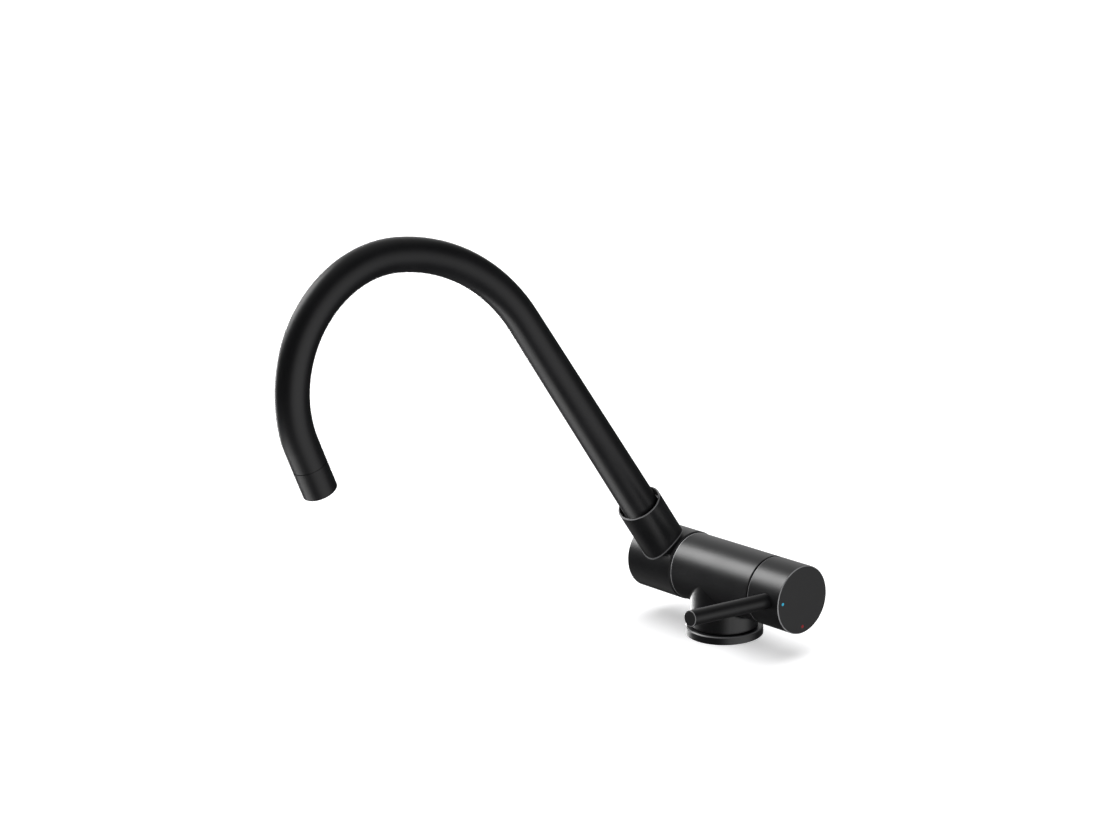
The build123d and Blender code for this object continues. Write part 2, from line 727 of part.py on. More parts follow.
# End plug: closes the rear barrel
with BuildPart() as rear_plug:
    plug = section(
        body_section,
        (elbow_rear + plug_recess, 0),
        (elbow_rear + plug_recess, plug_diameter / 2 - edge_chamfer),
        (elbow_rear + plug_recess + edge_chamfer, plug_diameter / 2),
        (elbow_rear + plug_recess + plug_thickness, plug_diameter / 2),
        (elbow_rear + plug_recess + plug_thickness, 0),
    )
    revolve(plug, axis=body_axis)
rear_plug.part.label = "rear_plug"

# Bush: plastic sleeve that guides the spout in its socket
with BuildPart() as socket_bush:
    extrude(disc(across_spout(bush_seat), 2 * (bush_radius - running_gap), 2 * bush_bore_radius),
            amount=bush_end - bush_seat)
socket_bush.part.label = "socket_bush"

# Set screw whose point runs in the spout foot's groove
groove_floor_radius = root_radius - root_groove_depth
screw_point_radius = groove_floor_radius + running_gap
screw_body_start = socket_bore_diameter / 2 + running_gap
with BuildPart() as spout_grub_screw:
    extrude(disc(spout_screw_plane.offset(screw_point_radius), spout_screw_point_diameter),
            amount=screw_body_start - screw_point_radius)
    screw_end = socket_diameter / 2 - spout_screw_sink
    extrude(disc(spout_screw_plane.offset(screw_body_start), spout_screw_diameter),
            amount=screw_end - screw_body_start)
    with BuildSketch(spout_screw_plane.offset(screw_end)):
        RegularPolygon(spout_screw_diameter * hex_socket_share / 2, 6, major_radius=False)
    extrude(amount=-(screw_end - screw_body_start) * hex_depth_share, mode=Mode.SUBTRACT)
spout_grub_screw.part.label = "spout_grub_screw"

# Foot of the spout: turned piece with two seal grooves and a groove for the set screw
tube_start = bush_seat + face_gap
tube_bore_radius = tube_bore_diameter / 2
root_tail_radius = tube_bore_radius - running_gap
root_seal_floor = root_radius - o_ring_groove_depth
with BuildPart() as spout_root:
    foot = section(
        spout_section,
        (root_start, root_bore_diameter / 2),
        (root_start, root_radius),
        (tube_start, root_radius),
        (tube_start, root_tail_radius),
        (tube_start + root_tail_length, root_tail_radius),
        (tube_start + root_tail_length, root_bore_diameter / 2),
    )
    revolve(foot, axis=spout_axis)
    for seal_s in (lower_seal_s, upper_seal_s):
        revolve(seal_groove(spout_section, seal_s, root_radius, root_seal_floor), axis=spout_axis,
                mode=Mode.SUBTRACT)
    screw_groove = section(
        spout_section,
        (spout_screw_s - root_groove_width / 2, groove_floor_radius),
        (spout_screw_s + root_groove_width / 2, groove_floor_radius),
        (spout_screw_s + root_groove_width / 2, root_radius + cut_overrun),
        (spout_screw_s - root_groove_width / 2, root_radius + cut_overrun),
    )
    revolve(screw_groove, axis=spout_axis, mode=Mode.SUBTRACT)
spout_root.part.label = "spout_root"

swivel_seal_radius = root_radius - o_ring_section / 2
swivel_o_ring_lower = o_ring(spout_section, spout_axis, lower_seal_s, swivel_seal_radius)
swivel_o_ring_lower.label = "swivel_o_ring_lower"
swivel_o_ring_upper = o_ring(spout_section, spout_axis, upper_seal_s, swivel_seal_radius)
swivel_o_ring_upper.label = "swivel_o_ring_upper"


# Spout route, on its section plane: along the straight part, then round the two bends
def bend_point(start, centre_turn, radius, turn):
    """Point of a bend after some turn, from the bend's start and the route's heading there."""
    return start + radius * Vector(sin(turn) - sin(centre_turn), cos(centre_turn) - cos(turn))


def in_space(point):
    """Place of a route point in the tap's frame."""
    return socket_origin + spout_way * point.X + hook_way * point.Y


wide_turn = radians(wide_bend_turn)
full_turn = radians(wide_bend_turn + tight_bend_turn)
straight_end = Vector(tube_straight_end, 0)
wide_middle = bend_point(straight_end, 0, wide_bend_radius, wide_turn / 2)
wide_end = bend_point(straight_end, 0, wide_bend_radius, wide_turn)
tight_middle = bend_point(wide_end, wide_turn, tight_bend_radius, (wide_turn + full_turn) / 2)
tight_end = bend_point(wide_end, wide_turn, tight_bend_radius, full_turn)
tail_way = spout_way * cos(full_turn) + hook_way * sin(full_turn)
seam_origin = in_space(tight_end) + tail_way * (tube_tail_length - sleeve_length)
with BuildPart() as spout_tube:
    taper = section(
        spout_section,
        (tube_start, tube_bore_radius),
        (tube_start, tube_foot_diameter / 2),
        (socket_reach, tube_foot_diameter / 2),
        (tube_straight_end, tube_diameter / 2),
        (tube_straight_end, tube_bore_radius),
    )
    revolve(taper, axis=spout_axis)
    with BuildLine() as route:
        ThreePointArc(in_space(straight_end), in_space(wide_middle), in_space(wide_end))
        ThreePointArc(in_space(wide_end), in_space(tight_middle), in_space(tight_end))
        Line(in_space(tight_end), seam_origin)
    sweep(disc(across_spout(tube_straight_end), tube_diameter, tube_bore_diameter), path=route.wire())
spout_tube.part.label = "spout_tube"

# Outlet sleeve: screwed into the tube's tip, with a fine seam where they meet
sleeve_section = Plane(seam_origin, x_dir=tail_way, z_dir=(1, 0, 0))
sleeve_axis = Axis(seam_origin, tail_way)
sleeve_radius = tube_diameter / 2
sleeve_bore_radius = sleeve_thread_bore_diameter / 2
mouth_radius = sleeve_mouth_diameter / 2
insert_end = sleeve_length - outlet_recess
insert_start = insert_end - insert_length
screen_start = insert_start - screen_thickness
washer_start = screen_start - washer_height
with BuildPart() as aerator_sleeve:
    profile = section(
        sleeve_section,
        (-sleeve_thread_length, sleeve_bore_radius),
        (-sleeve_thread_length, root_tail_radius),
        (0, root_tail_radius),
        (0, sleeve_radius - sleeve_seam_depth),
        (sleeve_seam_width, sleeve_radius - sleeve_seam_depth),
        (sleeve_seam_width, sleeve_radius),
        (sleeve_length - edge_chamfer, sleeve_radius),
        (sleeve_length, sleeve_radius - edge_chamfer),
        (sleeve_length, mouth_radius),
        (washer_start, mouth_radius),
        (washer_start, sleeve_bore_radius),
    )
    revolve(profile, axis=sleeve_axis)
aerator_sleeve.part.label = "aerator_sleeve"


def across_sleeve(distance):
    """Plane square to the outlet, at a distance past the seam."""
    return Plane(seam_origin + tail_way * distance, x_dir=(1, 0, 0), z_dir=tail_way)


# Outlet insert: rings on ribs, which show in the mouth
insert_radius = mouth_radius - running_gap
ring_pitch = (insert_radius - insert_wall) / (insert_ring_count + 1)
with BuildPart() as aerator_insert:
    extrude(disc(across_sleeve(insert_start), 2 * insert_radius, 2 * (insert_radius - insert_wall)),
            amount=insert_length)
    for ring in range(insert_ring_count):
        middle_radius = ring_pitch * (ring + 1)
        extrude(disc(across_sleeve(insert_end - insert_face_depth), 2 * middle_radius + insert_ring_width,
                     2 * middle_radius - insert_ring_width), amount=insert_face_depth)
    with BuildSketch(across_sleeve(insert_end - insert_face_depth)):
        with PolarLocations(0, insert_rib_count // 2, angular_range=180):
            Rectangle(2 * insert_radius - insert_wall, insert_rib_width)
    extrude(amount=insert_face_depth - insert_rib_sink)
aerator_insert.part.label = "aerator_insert"

# Screen: fine plate with rings of holes
with BuildPart() as aerator_screen:
    extrude(disc(across_sleeve(screen_start), 2 * insert_radius), amount=screen_thickness)
    with Locations(across_sleeve(screen_start)):
        Cylinder(screen_hole_diameter / 2, 2 * (screen_thickness + cut_overrun), mode=Mode.SUBTRACT)
        for hole_ring_radius in screen_ring_radii:
            hole_count = int(2 * pi * hole_ring_radius / (2 * screen_hole_diameter))
            with PolarLocations(hole_ring_radius, hole_count):
                Cylinder(screen_hole_diameter / 2, 2 * (screen_thickness + cut_overrun), mode=Mode.SUBTRACT)
aerator_screen.part.label = "aerator_screen"

# Washer: rubber seal behind the screen
with BuildPart() as aerator_washer:
    extrude(disc(across_sleeve(washer_start), 2 * insert_radius, 2 * (insert_radius - washer_width)),
            amount=washer_height)
aerator_washer.part.label = "aerator_washer"

pieces = [
    main_body.part,
    base_ring.part,
    base_gasket.part,
    cartridge_base.part,
    *port_seals.values(),
    fixed_disc.part,
    cartridge_housing.part,
    cartridge_nut.part,
    dome_ring.part,
    cartridge_rotor.part,
    moving_disc.part,
    disc_carrier.part,
    cartridge_stem.part,
    stem_pin.part,
    handle_cap.part,
    cover_disc.part,
    blue_marker,
    red_marker,
    lever_rod.part,
    handle_grub_screw.part,
    fold_axle.part,
    fold_o_ring_front,
    fold_o_ring_rear,
    friction_washer.part,
    retaining_washer.part,
    retaining_screw.part,
    elbow.part,
    rear_plug.part,
    socket_bush.part,
    spout_grub_screw.part,
    spout_root.part,
    swivel_o_ring_lower,
    swivel_o_ring_upper,
    spout_tube.part,
    aerator_sleeve.part,
    aerator_insert.part,
    aerator_screen.part,
    aerator_washer.part,
]

os.makedirs("parts", exist_ok=True)
for piece in pieces:
    export_step(piece, f"parts/{piece.label}.step")
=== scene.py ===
import json
from math import cos, radians, sin

import bpy
from mathutils import Matrix, Vector

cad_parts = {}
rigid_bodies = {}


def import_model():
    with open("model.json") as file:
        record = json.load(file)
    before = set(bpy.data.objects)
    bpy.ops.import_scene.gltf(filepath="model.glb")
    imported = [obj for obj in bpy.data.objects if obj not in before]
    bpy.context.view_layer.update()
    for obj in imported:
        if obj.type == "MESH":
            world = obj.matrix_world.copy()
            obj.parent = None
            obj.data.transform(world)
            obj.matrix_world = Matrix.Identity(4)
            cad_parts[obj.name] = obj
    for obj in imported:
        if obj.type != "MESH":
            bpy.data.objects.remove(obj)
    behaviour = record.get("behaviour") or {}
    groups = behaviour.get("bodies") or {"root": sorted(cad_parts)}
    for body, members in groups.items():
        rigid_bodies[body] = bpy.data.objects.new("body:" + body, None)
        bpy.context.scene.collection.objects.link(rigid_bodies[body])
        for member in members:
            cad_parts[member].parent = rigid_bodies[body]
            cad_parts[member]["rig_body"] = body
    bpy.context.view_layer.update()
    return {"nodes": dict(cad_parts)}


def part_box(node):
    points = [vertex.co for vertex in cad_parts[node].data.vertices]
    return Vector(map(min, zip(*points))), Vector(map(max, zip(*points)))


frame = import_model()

nodes = frame["nodes"]

# Camera: the photograph's width and focal length in pixels and the sensor in millimetres
IMAGE_WIDTH = 1100
FOCAL_PIXELS = 2500
SENSOR_WIDTH = 36.0

# Where the photograph was taken from, and the nearest and farthest things seen, in metres and degrees
CAMERA_PLACE = Vector((1.1557, -1.1505, 0.6125))
CAMERA_AZIMUTH = 49.2
CAMERA_ELEVATION = 15.49
CAMERA_ROLL = -1.88
NEAREST_SEEN = 0.05
FARTHEST_SEEN = 50.0

# Directions of the body's axis and of the base ring's
X_WAY = Vector((1.0, 0.0, 0.0))
Z_WAY = Vector((0.0, 0.0, 1.0))

# Where the socket's and the lever's axes and ends are, in metres and degrees
FOLD_ANGLE = 33.8
SOCKET_X = -0.0488
SOCKET_REACH = 0.059
LEVER_RISE = 5.3
LEVER_X = 0.0618
LEVER_REACH = 0.0932

# Painted highlights on rims and lines, for the light that chamfers and edges catch, and a painted shade line:
# width along the axis in metres, and strength from 0 to 1
BODY_LINE = (0.0017, 0.75)
RING_RIM = (0.0015, 0.2)
BARREL_RIM = (0.0012, 0.3)
SOCKET_RIM = (0.0012, 0.4)
CAP_RIM = (0.0012, 0.6)
CAP_LINE = (0.0014, 0.5)
CAP_SHADE_LINE = (0.0006, 0.8)
LEVER_RIM = (0.0012, 0.5)

# How far the painted shade line lies from the cap's end in metres, and the colours of the painted highlights
# and of the painted shade line
SHADE_LINE_INSET = 0.0008
HIGHLIGHT_PAINT_COLOUR = (0.42, 0.42, 0.43)
SHADE_LINE_COLOUR = (0.0, 0.0, 0.0)

# A chamfer's normal leans over its axis: the cosine of that angle, and how far from it still counts
CHAMFER_LEAN = 0.7
CHAMFER_LEAN_MARGIN = 0.25

# Radius in metres of the elbow's bore, which is painted dark as shade. Then those of two cylinders a little
# wider than its barrel and
# its stub: the surface that lies in both gets the painted highlight line at the stub's foot
BORE_RADIUS = 0.0147
BARREL_RADIUS = 0.0246
STUB_RADIUS = 0.0163

# How strong that painted highlight line is, the painted shade colour of the bore, and how much rougher the
# bore is
CROSSING_STRENGTH = 0.24
BORE_SHADE_COLOUR = (0.001, 0.001, 0.001)
BORE_ROUGHNESS = 0.5

# Satin coating: its colours, roughness and shine, the spout's lower shine, and the least strength of a rim's
# painted highlight, which slow patches vary
COATING_DARK = (0.0036, 0.0036, 0.0041)
COATING_LIGHT = (0.0060, 0.0060, 0.0066)
COATING_ROUGHNESS = (0.34, 0.40)
COATING_SHINE = 0.25
SPOUT_SHINE = 0.14
LEAST_RIM_HIGHLIGHT = 0.6

# Scale of the grain and of the slow patches, per metre, and the detail in each
GRAIN = 2600.0
RUBBER_GRAIN = 1500.0
PATCH = 45.0
ENAMEL_PATCH = 400.0
GRAIN_DETAIL = 2.0
PATCH_DETAIL = 4.0

# Share of the grain in the mixed tone, and depth of the grain in metres
GRAIN_SHARE = 0.5
COATING_GRAIN_SHARE = 0.35
GRAIN_DEPTH = 0.000012
COATING_DEPTH = 0.000006
CERAMIC_DEPTH = 0.000003

# Turned metal: detail and depth of its marks, and scale and detail of its patches
MARK_DETAIL = 4.0
MARK_DEPTH = 0.000008
METAL_PATCH = 70.0
METAL_PATCH_DETAIL = 3.0

# Levels between which most of a noise lies
NOISE_LOW = 0.3
NOISE_HIGH = 0.7

# Strength of the even light all round
WORLD_LIGHT = 0.08

# Floor: its own light's strength, angle in degrees and height, its glow, size, colours, finish and patches
FLOOR_LIGHT = 2.3
FLOOR_LIGHT_ANGLE = 70.0
FLOOR_LIGHT_HEIGHT = 3.0
FLOOR_GLOW = 0.42
FLOOR_SIZE = 60.0
FLOOR_DARK = (0.86, 0.86, 0.87)
FLOOR_LIGHTER = (0.88, 0.88, 0.89)
FLOOR_ROUGHNESS = 0.9
FLOOR_SHINE = 0.1
FLOOR_PATCH = 3.0
FLOOR_PATCH_DETAIL = 2.0

# Bodies whose pieces the lights call standing: all but the rear barrel, the spout and the sliding disc
STANDING_BODIES = ("base", "handle", "rotor")

# Pale walls round the tap: azimuth, elevation, full tone's angle and end's angle in degrees, and strength
SOFT_WALLS = (
    (-122.0, 8.0, 12.0, 34.0, 0.8),
    (-110.0, 60.0, 10.0, 62.0, 0.6),
    (92.0, -8.0, 8.0, 56.0, 3.2),
)

# Where the soft lights point, in metres, and how far off they stand
KEY_TARGET = (0.03, -0.06, 0.08)
EDGE_TARGET = (0.0, -0.15, 0.10)
BOUNCE_TARGET = (-0.05, -0.20, 0.17)
LIGHT_DISTANCE = 1.3

# Soft lights: pieces lit, pieces that shade, azimuth and elevation in degrees, width and height in metres,
# power in watts, and target
SOFT_LIGHTS = {
    "key_body": ("standing", "standing", -67.1, 40.5, 0.60, 0.80, 29.0, KEY_TARGET),
    "key_elbow": ("elbow", "everything", -66.0, 34.0, 0.60, 0.75, 34.0, KEY_TARGET),
    "key_spout": ("spout", "everything", -66.0, 34.0, 0.60, 0.75, 12.0, KEY_TARGET),
    "edge_strip": ("standing", "standing", -104.0, -13.0, 1.20, 0.40, 26.0, EDGE_TARGET),
    "edge_strip_spout": ("spout", "spout", -98.0, -5.0, 1.50, 0.45, 48.0, EDGE_TARGET),
    "floor_bounce": ("spout", "spout", -36.0, -56.0, 1.10, 1.10, 18.0, BOUNCE_TARGET),
    "elbow_bounce": ("elbow", "elbow", -82.0, -42.0, 1.00, 1.00, 0.8, KEY_TARGET),
}


def direction(azimuth, elevation):
    """Unit vector from the tap towards a viewer at that azimuth and elevation, in degrees."""
    a, e = radians(azimuth), radians(elevation)
    return Vector((sin(a) * cos(e), -cos(a) * cos(e), sin(e)))


def add_camera():
    """Camera at the photograph's place, with its lens and its roll."""
    data = bpy.data.cameras.new("photo_camera")
    data.sensor_width = SENSOR_WIDTH
    data.lens = FOCAL_PIXELS / IMAGE_WIDTH * SENSOR_WIDTH
    data.clip_start = NEAREST_SEEN
    data.clip_end = FARTHEST_SEEN
    back = direction(CAMERA_AZIMUTH, CAMERA_ELEVATION)
    level = Vector((cos(radians(CAMERA_AZIMUTH)), sin(radians(CAMERA_AZIMUTH)), 0.0))
    upright = back.cross(level)
    roll = radians(CAMERA_ROLL)
    right = level * cos(roll) + upright * sin(roll)
    up = upright * cos(roll) - level * sin(roll)
    camera = bpy.data.objects.new("photo_camera", data)
    camera.matrix_world = Matrix((
        (right.x, up.x, back.x, CAMERA_PLACE.x),
        (right.y, up.y, back.y, CAMERA_PLACE.y),
        (right.z, up.z, back.z, CAMERA_PLACE.z),
        (0.0, 0.0, 0.0, 1.0),
    ))
    bpy.context.scene.collection.objects.link(camera)
    bpy.context.scene.camera = camera


class Shader:
    """A node material with short helpers for wiring it."""

    def __init__(self, name):
        self.material = bpy.data.materials.new(name)
        self.material.use_nodes = True
        self.tree = self.material.node_tree
        self.surface = self.tree.nodes["Principled BSDF"]
        self.place = self.tree.nodes.new("ShaderNodeTexCoord")

    def link(self, source, target):
        self.tree.links.new(source, target)

    def math(self, operation, first, second=0.0, clamp=False):
        node = self.tree.nodes.new("ShaderNodeMath")
        node.operation = operation
        node.use_clamp = clamp
        for socket, value in zip(node.inputs, (first, second)):
            if isinstance(value, (int, float)):
                socket.default_value = value
            else:
                self.link(value, socket)
        return node.outputs[0]

    def stretched(self, scale):
        """Object coordinates, scaled apart along X, Y and Z."""
        node = self.tree.nodes.new("ShaderNodeMapping")
        node.inputs["Scale"].default_value = scale
        self.link(self.place.outputs["Object"], node.inputs["Vector"])
        return node.outputs["Vector"]

    def noise(self, scale, detail, vector=None):
        node = self.tree.nodes.new("ShaderNodeTexNoise")
        node.inputs["Scale"].default_value = scale
        node.inputs["Detail"].default_value = detail
        self.link(vector or self.place.outputs["Object"], node.inputs["Vector"])
        return node.outputs["Fac"]

    def speckle(self, grain, patch, grain_share):
        """Fine grain, slow patches, and a mix of the two."""
        fine = self.noise(grain, GRAIN_DETAIL)
        slow = self.noise(patch, PATCH_DETAIL)
        mixed = self.math("ADD", self.math("MULTIPLY", fine, grain_share),
                          self.math("MULTIPLY", slow, 1.0 - grain_share))
        return fine, slow, mixed

    def spread(self, value, low, high):
        """Maps the levels of a noise onto low to high."""
        node = self.tree.nodes.new("ShaderNodeMapRange")
        levels = {"From Min": NOISE_LOW, "From Max": NOISE_HIGH, "To Min": low, "To Max": high}
        for name, number in levels.items():
            node.inputs[name].default_value = number
        self.link(value, node.inputs["Value"])
        return node.outputs["Result"]

    def blend(self, share, first, second):
        """Colour between two colours, by a share from 0 to 1."""
        node = self.tree.nodes.new("ShaderNodeMix")
        node.data_type = "RGBA"
        self.link(share, node.inputs["Factor"])
        for socket, colour in ((node.inputs[6], first), (node.inputs[7], second)):
            if isinstance(colour, tuple):
                socket.default_value = (*colour, 1.0)
            else:
                self.link(colour, socket)
        return node.outputs[2]

    def bump(self, height, distance):
        """Small relief of the surface, in metres."""
        node = self.tree.nodes.new("ShaderNodeBump")
        node.inputs["Strength"].default_value = 1.0
        node.inputs["Distance"].default_value = distance
        self.link(height, node.inputs["Height"])
        self.link(node.outputs["Normal"], self.surface.inputs["Normal"])

    def dot(self, vector, axis):
        """How far a vector goes along an axis."""
        node = self.tree.nodes.new("ShaderNodeVectorMath")
        node.operation = "DOT_PRODUCT"
        self.link(vector, node.inputs[0])
        node.inputs[1].default_value = axis
        return node.outputs["Value"]

    def line(self, point, axis, width):
        """1 on a narrow band round an axis, level with that point, and 0 elsewhere."""
        way = Vector(axis).normalized()
        along = self.math("SUBTRACT", self.dot(self.place.outputs["Object"], way), way.dot(Vector(point)))
        return self.math("LESS_THAN", self.math("ABSOLUTE", along), width / 2)

    def rim(self, point, axis, width):
        """1 on a chamfer round an axis, level with that point, and 0 elsewhere."""
        lean = self.math("ABSOLUTE", self.dot(self.place.outputs["Normal"], Vector(axis).normalized()))
        off_lean = self.math("ABSOLUTE", self.math("SUBTRACT", lean, CHAMFER_LEAN))
        slanted = self.math("LESS_THAN", off_lean, CHAMFER_LEAN_MARGIN)
        return self.math("MULTIPLY", self.line(point, axis, width), slanted)

    def palest(self, masks):
        """The largest of several masks."""
        largest, *others = masks
        for mask in others:
            largest = self.math("MAXIMUM", largest, mask)
        return largest

    def away(self, point, axis):
        """Distance from a line through that point."""
        source = self.place.outputs["Object"]
        for operation, value in (("SUBTRACT", point), ("CROSS_PRODUCT", axis)):
            node = self.tree.nodes.new("ShaderNodeVectorMath")
            node.operation = operation
            self.link(source, node.inputs[0])
            node.inputs[1].default_value = value
            source = node.outputs["Vector"]
        length = self.tree.nodes.new("ShaderNodeVectorMath")
        length.operation = "LENGTH"
        self.link(source, length.inputs[0])
        return length.outputs["Value"]

    def inside(self, point, axis, radius):
        """1 nearer to the axis than that radius, and 0 elsewhere."""
        return self.math("LESS_THAN", self.away(point, axis), radius)

    def rod(self, point, axis, radius):
        """1 in a round rod that starts at that point and goes on without end, and 0 elsewhere."""
        along = self.dot(self.place.outputs["Object"], axis)
        ahead = self.math("GREATER_THAN", along, Vector(axis).dot(Vector(point)))
        return self.math("MULTIPLY", ahead, self.inside(point, axis, radius))

    def set(self, **values):
        """Constants on the shader's own sockets."""
        for name, value in values.items():
            self.surface.inputs[name.replace("_", " ")].default_value = value


def grained(name, dark, light, roughness, shine, grain=GRAIN, patch=PATCH, depth=GRAIN_DEPTH):
    """Fine even grain with slow changes of tone and gloss: disc, enamel, rubber, mouldings and ceramic."""
    shader = Shader(name)
    fine, slow, mixed = shader.speckle(grain, patch, GRAIN_SHARE)
    tone = shader.blend(shader.spread(mixed, 0.0, 1.0), dark, light)
    shader.link(tone, shader.surface.inputs["Base Color"])
    shader.link(shader.spread(mixed, *roughness), shader.surface.inputs["Roughness"])
    shader.bump(fine, depth)
    shader.set(Specular_IOR_Level=shine)
    return shader.material


def coated(name, shine=COATING_SHINE, rims=(), lines=(), shade_lines=(), bores=(), crossing=()):
    """Satin coating over metal, with painted highlights on rims and lines, painted shade lines and painted
    shade in bores.

    Each rim, line and shade line is a point level with it, its axis, its width along the axis in metres, and
    its strength. Each bore is the point where it starts, its axis and its radius. The crossing is a cylinder,
    given by a point on its axis, the axis and its radius, and the rod that leaves it; where they meet, a
    painted highlight is drawn."""
    shader = Shader(name)
    fine, slow, mixed = shader.speckle(GRAIN, PATCH, COATING_GRAIN_SHARE)
    tone = shader.blend(shader.spread(mixed, 0.0, 1.0), COATING_DARK, COATING_LIGHT)
    rough = shader.spread(mixed, *COATING_ROUGHNESS)
    # Painted highlights: pale tone on rims, on lines and where the stub leaves the barrel, standing in for
    # the light that chamfers and edges catch
    pale = [shader.math("MULTIPLY", shader.rim(*place), strength) for *place, strength in rims]
    pale += [shader.math("MULTIPLY", shader.line(*place), strength) for *place, strength in lines]
    if crossing:
        cylinder, rod = crossing
        both = shader.math("MULTIPLY", shader.inside(*cylinder), shader.rod(*rod))
        pale.append(shader.math("MULTIPLY", both, CROSSING_STRENGTH))
    if pale:
        # Slow patches vary the strength of the painted highlights
        patchy_highlight = shader.math("MULTIPLY", shader.palest(pale), shader.spread(slow, LEAST_RIM_HIGHLIGHT, 1.0))
        tone = shader.blend(patchy_highlight, tone, HIGHLIGHT_PAINT_COLOUR)
    # Painted shade lines: dark bands standing in for the dark reflection that a rounded edge shows beside its
    # highlight
    for *place, strength in shade_lines:
        tone = shader.blend(shader.math("MULTIPLY", shader.line(*place), strength), tone, SHADE_LINE_COLOUR)
    # Painted shade: the bores are darkened for the shade that falls inside them, and made rougher
    for bore in bores:
        bore_shade = shader.rod(*bore)
        tone = shader.blend(bore_shade, tone, BORE_SHADE_COLOUR)
        rough = shader.math("ADD", rough, shader.math("MULTIPLY", bore_shade, BORE_ROUGHNESS), clamp=True)
    shader.link(tone, shader.surface.inputs["Base Color"])
    shader.link(rough, shader.surface.inputs["Roughness"])
    shader.bump(fine, COATING_DEPTH)
    shader.set(Specular_IOR_Level=shine)
    return shader.material


def turned(name, dark, light, roughness, marks_per_metre):
    """Bare metal with fine turning marks, given by how many there are in a metre along X, Y and Z."""
    shader = Shader(name)
    marks = shader.noise(1.0, MARK_DETAIL, shader.stretched(marks_per_metre))
    slow = shader.noise(METAL_PATCH, METAL_PATCH_DETAIL)
    shader.link(shader.blend(shader.spread(slow, 0.0, 1.0), dark, light), shader.surface.inputs["Base Color"])
    shader.link(shader.spread(marks, *roughness), shader.surface.inputs["Roughness"])
    shader.bump(marks, MARK_DEPTH)
    shader.set(Metallic=1.0)
    return shader.material


def dress(material, *names):
    """Gives CAD nodes their material."""
    for name in names:
        mesh = nodes[name].data
        mesh.materials.clear()
        mesh.materials.append(material)


def on_axis(x):
    """Point on the body's axis at that X."""
    low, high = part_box("rear_plug")
    return Vector((x, 0.0, (low.z + high.z) / 2))


def coat_body():
    """Body with a painted highlight along its rear edge, plain dome ring and rear plug, and the base ring
    with a painted highlight on its rim.
    """
    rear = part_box("main_body")[0]
    dress(coated("body_coating", lines=[(rear, X_WAY, *BODY_LINE)]), "main_body")
    dress(coated("plug_coating"), "dome_ring", "rear_plug")
    ring_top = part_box("base_ring")[1]
    dress(coated("ring_coating", rims=[(ring_top, Z_WAY, *RING_RIM)]), "base_ring")


def coat_elbow():
    """Rear barrel with painted highlights on two rims, painted shade in its bore, and a painted highlight
    line where its stub leaves it.
    """
    low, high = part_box("elbow")
    fold = radians(FOLD_ANGLE)
    spout_way = Vector((0.0, -sin(fold), cos(fold)))
    stub_root = on_axis(SOCKET_X)
    socket_end = stub_root + spout_way * SOCKET_REACH
    coating = coated(
        "elbow_coating",
        rims=[(low, X_WAY, *BARREL_RIM), (socket_end, spout_way, *SOCKET_RIM)],
        # Painted shade inside the stub's bore
        bores=[(stub_root, spout_way, BORE_RADIUS)],
        crossing=[(on_axis(high.x), X_WAY, BARREL_RADIUS), (stub_root, spout_way, STUB_RADIUS)],
    )
    dress(coating, "elbow")


def coat_handle():
    """Cap with a painted highlight on its rim, a painted highlight line at its back and a painted shade line
    in front, and a painted highlight on the lever's tip rim.
    """
    low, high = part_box("handle_cap")
    coating = coated(
        "cap_coating",
        rims=[(high, X_WAY, *CAP_RIM)],
        lines=[(low, X_WAY, *CAP_LINE)],
        # Painted shade line just behind the cap's front end
        shade_lines=[(high - SHADE_LINE_INSET * X_WAY, X_WAY, *CAP_SHADE_LINE)],
    )
    dress(coating, "handle_cap")
    rise = radians(LEVER_RISE)
    lever_way = Vector((0.0, -cos(rise), sin(rise)))
    lever_tip = on_axis(LEVER_X) + lever_way * LEVER_REACH
    dress(coated("lever_coating", rims=[(lever_tip, lever_way, *LEVER_RIM)]), "lever_rod")


def coat_spout():
    """Tube and aerator sleeve, a little less shiny than the castings."""
    dress(coated("tube_coating", shine=SPOUT_SHINE), "spout_tube", "aerator_sleeve")


def dress_cap_face():
    """Matt cover disc, and the two temperature markers."""
    dress(grained("disc_coating", (0.0084, 0.0084, 0.0088), (0.0104, 0.0104, 0.0110), (0.46, 0.54), 0.25),
          "cover_disc")
    dress(grained("blue_enamel", (0.015, 0.26, 0.40), (0.022, 0.32, 0.47), (0.22, 0.30), 0.2,
                  patch=ENAMEL_PATCH),
          "blue_marker")
    dress(grained("red_enamel", (0.16, 0.003, 0.005), (0.21, 0.005, 0.008), (0.22, 0.30), 0.2,
                  patch=ENAMEL_PATCH),
          "red_marker")


def dress_seals():
    """Black rubber rings, gasket and washer."""
    dress(grained("black_rubber", (0.012, 0.012, 0.012), (0.022, 0.022, 0.022), (0.62, 0.76), 0.35,
                  grain=RUBBER_GRAIN),
          "base_gasket", "cold_port_seal", "hot_port_seal", "outlet_port_seal", "fold_o_ring_front",
          "fold_o_ring_rear", "swivel_o_ring_lower", "swivel_o_ring_upper", "aerator_washer")


def dress_mouldings():
    """White, grey and black plastic pieces, and the ceramic discs."""
    dress(grained("white_moulding", (0.70, 0.70, 0.67), (0.80, 0.80, 0.77), (0.38, 0.50), 0.5),
          "cartridge_base", "cartridge_housing")
    dress(grained("grey_moulding", (0.26, 0.27, 0.28), (0.36, 0.37, 0.38), (0.38, 0.50), 0.5),
          "aerator_insert", "cartridge_rotor")
    dress(grained("black_moulding", (0.020, 0.020, 0.022), (0.034, 0.034, 0.036), (0.40, 0.52), 0.45),
          "friction_washer", "socket_bush", "disc_carrier")
    dress(grained("ceramic", (0.78, 0.77, 0.73), (0.86, 0.85, 0.81), (0.10, 0.18), 0.6, depth=CERAMIC_DEPTH),
          "fixed_disc", "moving_disc")


